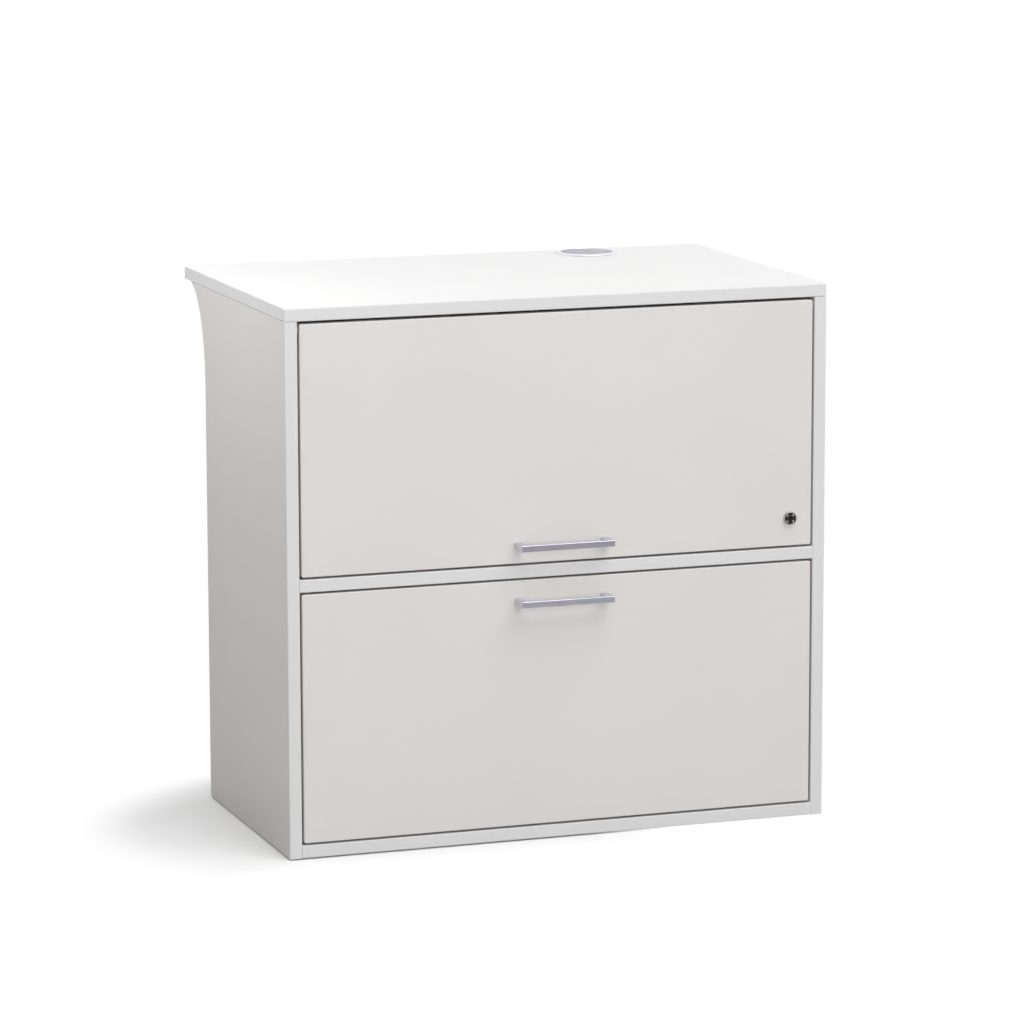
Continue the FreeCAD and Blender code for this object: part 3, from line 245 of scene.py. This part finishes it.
def moulded(name, colour, rough=(0.42, 0.58)):
    """Moulded plastic with a fine spark grain."""
    finish = Finish(name)
    where = finish.place()
    grain = finish.noise(where, scale=1600.0, rough=0.6)
    drift = finish.noise(where, scale=30.0)
    finish.tint(drift, *shades(colour, dark=0.95, light=1.05))
    finish.gloss(grain, *rough)
    finish.relief(grain, height=0.05 * MM)
    return finish.material


def beech(name):
    """Beech with a fine grain along X."""
    finish = Finish(name)
    grain = finish.noise(finish.place(drawn("x", factor=0.1)), scale=700.0, detail=4.0, rough=0.6)
    finish.tint(grain, BEECH_DARK, BEECH_LIGHT)
    finish.gloss(grain, low=0.6, high=0.75)
    finish.relief(grain, height=0.1 * MM)
    return finish.material


WARM_BOARD = melamine("warm_board", WARM_GREY)
FINISHES = {
    "carcass_board": WARM_BOARD,
    "front_board": WARM_BOARD,
    "drawer_board": WARM_BOARD,
    "top_board": melamine("white_board", TOP_WHITE),
    "edge_band": banding("cool_band", COOL_GREY),
    "front_band": banding("warm_band", WARM_GREY),
    "grommet_metal": plated("satin_silver", PALE_SILVER, rough=(0.34, 0.42), grain=2400.0,
                            height=0.002 * MM),
    "handle_metal": brushed("brushed_silver", SILVER, along="x"),
    "lock_nickel": plated("bright_nickel", NICKEL, rough=(0.12, 0.2)),
    "lock_dark": moulded("dark_satin", LOCK_BLACK, rough=(0.24, 0.36)),
    "plated_steel": plated("zinc_plate", ZINC),
    "runner_steel": brushed("runner_zinc", ZINC, along="y"),
    "screw_steel": plated("screw_zinc", ZINC, rough=(0.2, 0.32)),
    "grey_plastic": moulded("grey_plastic", PLASTIC_GREY),
    "dowel_wood": beech("dowel_beech"),
}


def dress():
    """Gives every CAD node the finish of its slot."""
    for node, slot in SLOT_OF.items():
        slots = NODES[node].data.materials
        slots.clear()
        slots.append(FINISHES[slot])


# Meshes: edges sharper than the crease in degrees stay sharp, and points closer than the weld are one.

CREASE = 30.0
WELD = 0.001 * MM
ARC_STEPS = 6


def smooth(mesh, crease=CREASE):
    """Shades a mesh smooth but for its sharp edges."""
    mesh.polygons.foreach_set("use_smooth", [True] * len(mesh.polygons))
    mesh.set_sharp_from_angle(angle=math.radians(crease))
    return mesh


def finished(bm, name, crease=CREASE):
    """A smooth mesh from a bmesh."""
    bmesh.ops.recalc_face_normals(bm, faces=bm.faces)
    mesh = bpy.data.meshes.new(name)
    bm.to_mesh(mesh)
    bm.free()
    return smooth(mesh, crease)


def show(mesh, name, node, slot=None, replace=True):
    """Puts a mesh on the body, in the slot and in the place of a CAD node, unless told otherwise."""
    slot = slot or SLOT_OF[node]
    mesh.materials.append(FINISHES[slot])
    piece = bpy.data.objects.new(name, mesh)
    bpy.context.scene.collection.objects.link(piece)
    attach(piece, BODY_OF[node])
    if replace:
        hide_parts(node)


def lathe(profile, steps, closed=True):
    """Turns (radius, height) points about Z. A point on the axis ends an open profile."""
    bm = bmesh.new()
    columns = []
    for step in range(steps):
        angle = math.tau * step / steps
        column = []
        for index, (radius, height) in enumerate(profile):
            if radius < WELD and step > 0:
                column.append(columns[0][index])
            else:
                spot = (radius * math.cos(angle), radius * math.sin(angle), height)
                column.append(bm.verts.new(spot))
        columns.append(column)
    runs = len(profile) if closed else len(profile) - 1
    for step in range(steps):
        here = columns[step]
        there = columns[(step + 1) % steps]
        for index in range(runs):
            follows = (index + 1) % len(profile)
            corners = [here[index], here[follows], there[follows], there[index]]
            bm.faces.new(list(dict.fromkeys(corners)))
    return bm


def arc(centre, halves, start, end, count=ARC_STEPS):
    """Points between two angles in degrees on an oval, given by half its width and half its height."""
    angles = [math.radians(start + (end - start) * step / count) for step in range(count + 1)]
    return [(centre[0] + halves[0] * math.cos(angle), centre[1] + halves[1] * math.sin(angle))
            for angle in angles]


def block(low, high):
    """A plain box as a tool to cut with."""
    bm = bmesh.new()
    middle = (Vector(low) + Vector(high)) / 2
    sides = Vector(high) - Vector(low)
    pose = Matrix.Translation(middle) @ Matrix.Diagonal((*sides, 1.0))
    bmesh.ops.create_cube(bm, size=1.0, matrix=pose)
    return bm


def raised(plan, low, high):
    """A plan of (x, y) points raised from one height to another."""
    bm = bmesh.new()
    lower = [bm.verts.new((x, y, low)) for x, y in plan]
    upper = [bm.verts.new((x, y, high)) for x, y in plan]
    bm.faces.new(lower)
    bm.faces.new(upper)
    for index in range(len(plan)):
        follows = (index + 1) % len(plan)
        bm.faces.new((lower[index], lower[follows], upper[follows], upper[index]))
    bmesh.ops.recalc_face_normals(bm, faces=bm.faces)
    return bm


def cut(mesh, tools):
    """A mesh with each tool taken out of it."""
    scene = bpy.context.scene
    base = bpy.data.objects.new("cut_base", mesh)
    scene.collection.objects.link(base)
    cutters = []
    for tool in tools:
        cutter = bpy.data.objects.new("cut_tool", finished(tool, "cut_tool"))
        scene.collection.objects.link(cutter)
        cutters.append(cutter)
        taken = base.modifiers.new("cut", "BOOLEAN")
        taken.operation = "DIFFERENCE"
        taken.solver = "EXACT"
        taken.object = cutter
    bpy.context.view_layer.update()
    depsgraph = bpy.context.evaluated_depsgraph_get()
    result = bpy.data.meshes.new_from_object(base.evaluated_get(depsgraph))
    for piece in (base, *cutters):
        bpy.data.objects.remove(piece)
    result.materials.clear()
    return smooth(result)


def joined_to(first):
    """The numbers of all points that edges join to one point, and its own."""
    reached = {first.index}
    waiting = [first]
    while waiting:
        vert = waiting.pop()
        for edge in vert.link_edges:
            other = edge.other_vert(vert)
            if other.index not in reached:
                reached.add(other.index)
                waiting.append(other)
    return reached


def solids(node):
    """Each separate solid of a CAD node as a welded bmesh."""
    whole = bmesh.new()
    whole.from_mesh(NODES[node].data)
    bmesh.ops.remove_doubles(whole, verts=whole.verts, dist=WELD)
    whole.verts.index_update()
    placed = set()
    found = []
    for first in whole.verts:
        if first.index not in placed:
            reached = joined_to(first)
            placed |= reached
            single = whole.copy()
            others = [vert for vert in single.verts if vert.index not in reached]
            bmesh.ops.delete(single, geom=others, context="VERTS")
            found.append(single)
    whole.free()
    return found


class Round:
    """The measures of a round solid. Its axis is the one across which its sides are most alike."""

    def __init__(self, solid):
        spots = [vert.co for vert in solid.verts]
        self.low = Vector([min(spot[axis] for spot in spots) for axis in range(3)])
        self.high = Vector([max(spot[axis] for spot in spots) for axis in range(3)])
        sides = self.high - self.low
        gaps = [abs(sides[(axis + 1) % 3] - sides[(axis + 2) % 3]) for axis in range(3)]
        self.axis = gaps.index(min(gaps))
        self.middle = (self.low + self.high) / 2
        self.radius = sides[(self.axis + 1) % 3] / 2
        self.length = sides[self.axis]

    def end(self, sign):
        """The middle of the end on the plus or minus side of its axis."""
        place = self.middle.copy()
        place[self.axis] = (self.high if sign > 0 else self.low)[self.axis]
        return place

    def off_axis(self, spot):
        """How far a point lies from the axis."""
        gap = spot - self.middle
        gap[self.axis] = 0
        return gap.length


def aimed(axis, sign, place):
    """A turn and a move that point +Z along an axis, from a place."""
    direction = Vector([sign if other == axis else 0 for other in range(3)])
    return Matrix.Translation(place) @ direction.to_track_quat("Z", "Y").to_matrix().to_4x4()


# Screws: pan heads with a cross recess. Sizes without a unit are shares of the head's radius or height.

SCREW_SHAFT = 2.0 * MM
SCREW_HEAD_HIGH = 2.0 * MM
SCREW_RIM = 0.35
SCREW_STEPS = 32
HEAD_SEEN_FROM = 0.9
CROSS_LONG = 0.62
CROSS_WIDE = 0.17
CROSS_DEEP = 0.62


def cross(radius, top, deep):
    """Two crossed bars that cut a recess into a face."""
    reach = radius * CROSS_LONG
    half = radius * CROSS_WIDE
    return [block((-reach, -half, top - deep), (reach, half, top + deep)),
            block((-half, -reach, top - deep), (half, reach, top + deep))]


def screw_mesh(radius, length):
    """A screw whose head stands on the plane z = 0 and whose shaft runs down."""
    top = SCREW_HEAD_HIGH
    rim = SCREW_RIM * top
    dome = arc((0.0, rim), (radius, top - rim), 90, 0)
    profile = [*dome, (radius, 0.0), (SCREW_SHAFT, 0.0), (SCREW_SHAFT, -length), (0.0, -length)]
    body = finished(lathe(profile, SCREW_STEPS, closed=False), "screw")
    return cut(body, cross(radius, top, CROSS_DEEP * top))


def screw_for(solid):
    """A screw with a real head where a plain one stands."""
    plain = Round(solid)
    axis = plain.axis
    edge = HEAD_SEEN_FROM * plain.radius
    head = [vert.co[axis] for vert in solid.verts if plain.off_axis(vert.co) > edge]
    sign = 1 if sum(head) / len(head) > plain.middle[axis] else -1
    place = plain.end(sign)
    place[axis] -= sign * SCREW_HEAD_HIGH
    mesh = screw_mesh(plain.radius, plain.length - SCREW_HEAD_HIGH)
    mesh.transform(aimed(axis, sign, place))
    return mesh


def screws():
    """Every screw node gets screws with real heads."""
    for node, slot in SLOT_OF.items():
        if slot != "screw_steel":
            continue
        gathered = bmesh.new()
        for solid in solids(node):
            gathered.from_mesh(screw_for(solid))
            solid.free()
        show(finished(gathered, node + "_heads"), node + "_heads", node)


# Cam fittings

CAM_CROSS_DEEP = 3.0 * MM


def cams():
    """Every cam housing gets a cross recess in the face that shows, below or towards the middle."""
    gathered = bmesh.new()
    for solid in solids("cam_housings"):
        plain = Round(solid)
        upright = plain.axis == AXIS_Z
        sign = -1 if upright or plain.middle[plain.axis] > 0 else 1
        pose = aimed(plain.axis, sign, plain.end(sign))
        tools = cross(plain.radius, 0.0, CAM_CROSS_DEEP)
        for tool in tools:
            bmesh.ops.transform(tool, matrix=pose, verts=tool.verts)
        gathered.from_mesh(cut(finished(solid, "cam"), tools))
    show(finished(gathered, "cam_faces"), "cam_faces", "cam_housings")


# Handles

HANDLE_LEG = 9.5 * MM
HANDLE_BAR = 8.0 * MM
HANDLE_ROUND = 0.9 * MM
HANDLE_ROUND_STEPS = 4
HANDLE_UNDER_ROUND = 0.3 * MM
HANDLE_UNDER_STEPS = 2
HANDLE_CREASE = 8.0
ROUND_PROFILE = 0.5


def handle(node):
    """A straight bow handle with softly broken edges, less so underneath."""
    low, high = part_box(node)
    left = low.x + HANDLE_LEG
    right = high.x - HANDLE_LEG
    behind = low.y + HANDLE_BAR
    middle = (low.z + high.z) / 2
    plan = [(low.x, high.y), (low.x, low.y), (high.x, low.y), (high.x, high.y),
            (right, high.y), (right, behind), (left, behind), (left, high.y)]
    bm = raised(plan, low.z, high.z)

    def soften(side, size, steps):
        """Rounds the edges below (-1) or above (1) the middle, but for those that touch the front."""
        edges = [edge for edge in bm.edges
                 if any(abs(vert.co.y - high.y) > WELD for vert in edge.verts)
                 and all((vert.co.z - middle) * side > 0 for vert in edge.verts)]
        bmesh.ops.bevel(bm, geom=edges, offset=size, segments=steps,
                        profile=ROUND_PROFILE, affect="EDGES")

    soften(-1, HANDLE_UNDER_ROUND, HANDLE_UNDER_STEPS)
    soften(1, HANDLE_ROUND, HANDLE_ROUND_STEPS)
    show(finished(bm, node + "_bow", HANDLE_CREASE), node + "_bow", node)


# Cable grommet

GROMMET_BORE = 77.0 * MM
GROMMET_SLEEVE = 80.0 * MM
GROMMET_EDGE = 1.2 * MM
GROMMET_ROUND = 0.8 * MM
GROMMET_DOME_STEPS = 9
GROMMET_STEPS = 128


def grommet():
    """A sleeve through the worktop with a domed flange."""
    low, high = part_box("cable_grommet")
    flange = (high.x - low.x) / 2
    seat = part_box("worktop")[1].z
    edge = seat + GROMMET_EDGE
    inner = GROMMET_BORE / 2
    outer = GROMMET_SLEEVE / 2
    crown = inner + 2 * GROMMET_ROUND
    dome = arc((crown, edge), (flange - crown, high.z - edge), 0, 90, GROMMET_DOME_STEPS)
    lip = arc((inner + GROMMET_ROUND, high.z - GROMMET_ROUND), (GROMMET_ROUND, GROMMET_ROUND), 90, 180)
    profile = [(inner, low.z), (outer, low.z), (outer, seat), (flange, seat), *dome, *lip]
    bm = lathe(profile, GROMMET_STEPS)
    middle = Vector(((low.x + high.x) / 2, (low.y + high.y) / 2, 0))
    bmesh.ops.translate(bm, vec=middle, verts=bm.verts)
    show(finished(bm, "grommet_ring"), "grommet_ring", "cable_grommet")


# Lock

LOCK_CAP = 16.6 * MM
LOCK_CAP_RECESS = 0.4 * MM
LOCK_CAP_DEEP = 3.1 * MM
LOCK_BARREL = 16.0 * MM
LOCK_STEM = 10.0 * MM
LOCK_PLAY = 0.05 * MM
LOCK_ROUND = 0.5 * MM
LOCK_STEPS = 96
THREAD_PITCH = 1.0 * MM
THREAD_DEEP = 0.4 * MM
STUDS = 4
STUD_RING = 6.2 * MM
STUD_WIDE = 3.2 * MM
STUD_HIGH = 0.7 * MM
STUD_STEPS = 24
KEY_WIDE = 1.4 * MM
KEY_HIGH = 6.4 * MM
KEY_DEEP = 5.0 * MM
PLUG_BOSS = 4.6 * MM
PLUG_DISH = 0.5 * MM


def lock_frame():
    """A turn of +Z to the front at the middle of the lock's face, and the corners of its housing."""
    low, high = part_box("lock_housing")
    middle = Vector(((low.x + high.x) / 2, low.y, (low.z + high.z) / 2))
    return aimed(AXIS_Y, -1, middle), low, high


def lock_housing():
    """A turned housing with a rounded rim and a threaded barrel."""
    pose, low, high = lock_frame()
    rim = (high.x - low.x) / 2
    head = low.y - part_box("flap_panel")[0].y
    rear = low.y - high.y
    seat = LOCK_CAP / 2 + LOCK_PLAY
    bore = LOCK_STEM / 2 + LOCK_PLAY
    barrel = LOCK_BARREL / 2
    halves = (LOCK_ROUND, LOCK_ROUND)
    outside = arc((rim - LOCK_ROUND, -LOCK_ROUND), halves, 0, 90)
    inside = arc((seat + LOCK_ROUND, -LOCK_ROUND), halves, 90, 180)
    thread = []
    for turn in range(int((head - rear) / THREAD_PITCH)):
        start = rear + turn * THREAD_PITCH
        thread += [(barrel - THREAD_DEEP, start), (barrel, start + THREAD_PITCH / 2)]
    profile = [(bore, rear), *thread, (barrel, head), (rim, head), *outside, *inside,
               (seat, -LOCK_CAP_DEEP), (bore, -LOCK_CAP_DEEP)]
    bm = lathe(profile, LOCK_STEPS)
    bmesh.ops.transform(bm, matrix=pose, verts=bm.verts)
    show(finished(bm, "lock_rosette"), "lock_rosette", "lock_housing")


def lock_plug():
    """A dark dished plug with a key slot."""
    pose, low, _ = lock_frame()
    cap = LOCK_CAP / 2
    stem = LOCK_STEM / 2
    face = -LOCK_CAP_RECESS
    dish = face - PLUG_DISH
    back = -LOCK_CAP_DEEP + LOCK_PLAY
    rear = low.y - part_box("lock_plug")[1].y
    soft = LOCK_ROUND / 2
    profile = [(0.0, face), (PLUG_BOSS - PLUG_DISH, face), (PLUG_BOSS, dish), (cap - 2 * PLUG_DISH, dish),
               (cap - PLUG_DISH, face), (cap - soft, face), (cap, face - soft), (cap, back), (stem, back),
               (stem, rear), (0.0, rear)]
    key_slot = block((-KEY_WIDE / 2, -KEY_HIGH / 2, face - KEY_DEEP),
                     (KEY_WIDE / 2, KEY_HIGH / 2, face + KEY_DEEP))
    mesh = cut(finished(lathe(profile, LOCK_STEPS, closed=False), "plug"), [key_slot])
    mesh.transform(pose)
    show(mesh, "lock_rotor", "lock_plug")


def lock_studs():
    """Bright studs on the plug's diagonals."""
    pose = lock_frame()[0]
    dish = -LOCK_CAP_RECESS - PLUG_DISH
    foot = dish - STUD_HIGH / 2
    half = STUD_WIDE / 2
    profile = [(0.0, foot), (half, foot), *arc((0.0, dish), (half, STUD_HIGH), 0, 90)]
    gathered = bmesh.new()
    for turn in range(STUDS):
        angle = math.tau * (turn + 0.5) / STUDS
        stud = lathe(profile, STUD_STEPS, closed=False)
        spot = Vector((STUD_RING * math.cos(angle), STUD_RING * math.sin(angle), 0))
        bmesh.ops.translate(stud, vec=spot, verts=stud.verts)
        single = finished(stud, "stud")
        single.transform(pose)
        gathered.from_mesh(single)
    mesh = finished(gathered, "lock_studs")
    show(mesh, "lock_studs", "lock_plug", slot="lock_nickel", replace=False)


# Stage

def shade_mask(tree, spot, depth):
    """Nothing where the floor keeps its shade, and one where it shows plain white."""
    oval = tree.add("Mapping", vector=spot, location=(*SHADE_MIDDLE, 0),
                    scale=(SHADE_HALF_WIDE, SHADE_HALF_DEEP, 1))
    oval.vector_type = "TEXTURE"
    distance = tree.join("VectorMath", oval.outputs["Vector"])
    distance.operation = "LENGTH"
    ring = tree.ramp(distance.outputs["Value"], SHADE_RING, WHITE_RING, 0.0, 1.0, soft=True)
    front = tree.ramp(depth, WHITE_FRONT, SHADE_FRONT, 1.0, 0.0, soft=True)
    mask = tree.join("Math", ring, front)
    mask.operation = "MAXIMUM"
    return mask.outputs["Value"]


def floor_material():
    """Keeps the shadow and shows white to the camera and in reflections."""
    material = bpy.data.materials.new("pale_floor")
    material.cycles.emission_sampling = "NONE"
    tree = Tree(material)
    tree.nodes.clear()

    def diffuse(level):
        return tree.add("BsdfDiffuse", color=(level, level, level, 1)).outputs["BSDF"]

    def glow(level):
        return tree.add("Emission", strength=level).outputs["Emission"]

    def mixed(factor, first, second):
        return tree.join("MixShader", factor, first, second).outputs["Shader"]

    spot = tree.add("TexCoord").outputs["Object"]
    depth = tree.add("SeparateXYZ", vector=spot).outputs["Y"]
    mask = shade_mask(tree, spot, depth)
    shaded = tree.join("AddShader", diffuse(FLOOR_SEEN), glow(FLOOR_GLOW)).outputs["Shader"]
    seen = mixed(mask, shaded, glow(WHITE))
    room = tree.ramp(depth, UNLIT_EDGE, LIT_EDGE, DARK_SIDE, WHITE, soft=True)
    mirrored = mixed(mask, shaded, glow(room))
    path = tree.add("LightPath").outputs
    surface = diffuse(FLOOR_BOUNCE)
    looks = {"Is Transmission Ray": seen, "Is Glossy Ray": mirrored, "Is Camera Ray": seen}
    for ray, look in looks.items():
        surface = mixed(path[ray], surface, look)
    tree.add("OutputMaterial", surface=surface)
    return material


def floor():
    """A wide pale floor."""
    bm = bmesh.new()
    bmesh.ops.create_grid(bm, x_segments=1, y_segments=1, size=FLOOR_REACH)
    mesh = finished(bm, "floor")
    mesh.materials.append(floor_material())
    piece = bpy.data.objects.new("floor", mesh)
    bpy.context.scene.collection.objects.link(piece)


def sky():
    """Soft light from all round. The camera sees white, and metal sees a dark side in front."""
    world = bpy.data.worlds.new("studio")
    tree = Tree(world)
    spot = tree.add("TexCoord").outputs["Generated"]
    depth = tree.add("SeparateXYZ", vector=spot).outputs["Y"]
    room = tree.ramp(depth, DARK_TURN, WHITE_TURN, DARK_SIDE, WHITE, soft=True)
    path = tree.add("LightPath").outputs
    level = SKY
    looks = {"Is Transmission Ray": WHITE, "Is Glossy Ray": room, "Is Camera Ray": WHITE}
    for ray, look in looks.items():
        level = tree.add("Mix", factor=path[ray], a=level, b=look).outputs["Result"]
    tree.put(tree.nodes["Background"], color=(1, 1, 1, 1), strength=level)
    bpy.context.scene.world = world


def softbox(name, place, size, power, mirrored=False):
    """An area lamp turned to the object's middle, hidden from the camera."""
    lamp = bpy.data.lights.new(name, "AREA")
    lamp.shape = "RECTANGLE"
    lamp.size, lamp.size_y = size
    lamp.energy = power
    piece = bpy.data.objects.new(name, lamp)
    piece.location = place
    piece.rotation_euler = (Vector(LAMP_AIM) - Vector(place)).to_track_quat("-Z", "Y").to_euler()
    piece.visible_camera = False
    piece.visible_glossy = mirrored
    bpy.context.scene.collection.objects.link(piece)


def light():
    """A high lamp makes the shadow, and weaker ones light each side. Metres and watts."""
    sky()
    softbox("front", place=(-0.42, -2.93, 1.02), size=(4.0, 1.6), power=41.8)
    softbox("high", place=(0.7, -2.2, 3.9), size=(4.0, 3.0), power=121.0, mirrored=True)
    softbox("overhead", place=(1.5, 1.1, 2.9), size=(1.4, 1.4), power=14.2)
    softbox("left", place=(-1.24, 0.05, 1.5), size=(0.8, 0.8), power=5.4)
    softbox("near_left", place=(-0.85, 0.0, 1.0), size=(0.9, 0.25), power=1.1)
    softbox("back", place=(0.2, 2.6, 1.0), size=(2.4, 1.2), power=24.0)
    softbox("right", place=(2.3, 0.1, 1.0), size=(1.6, 1.2), power=14.0)


def camera():
    """The photograph's camera."""
    lens = bpy.data.cameras.new("camera")
    lens.sensor_width = CAMERA_SENSOR
    lens.lens = CAMERA_LENS
    lens.clip_end = CAMERA_REACH
    piece = bpy.data.objects.new("camera", lens)
    piece.location = CAMERA_PLACE
    piece.rotation_euler = tuple(math.radians(angle) for angle in CAMERA_TURN)
    bpy.context.scene.collection.objects.link(piece)
    bpy.context.scene.camera = piece


bpy.context.scene.view_settings.view_transform = "Standard"
camera()
floor()
light()
dress()
handle("flap_handle")
handle("drawer_handle")
grommet()
lock_housing()
lock_plug()
lock_studs()
screws()
cams()
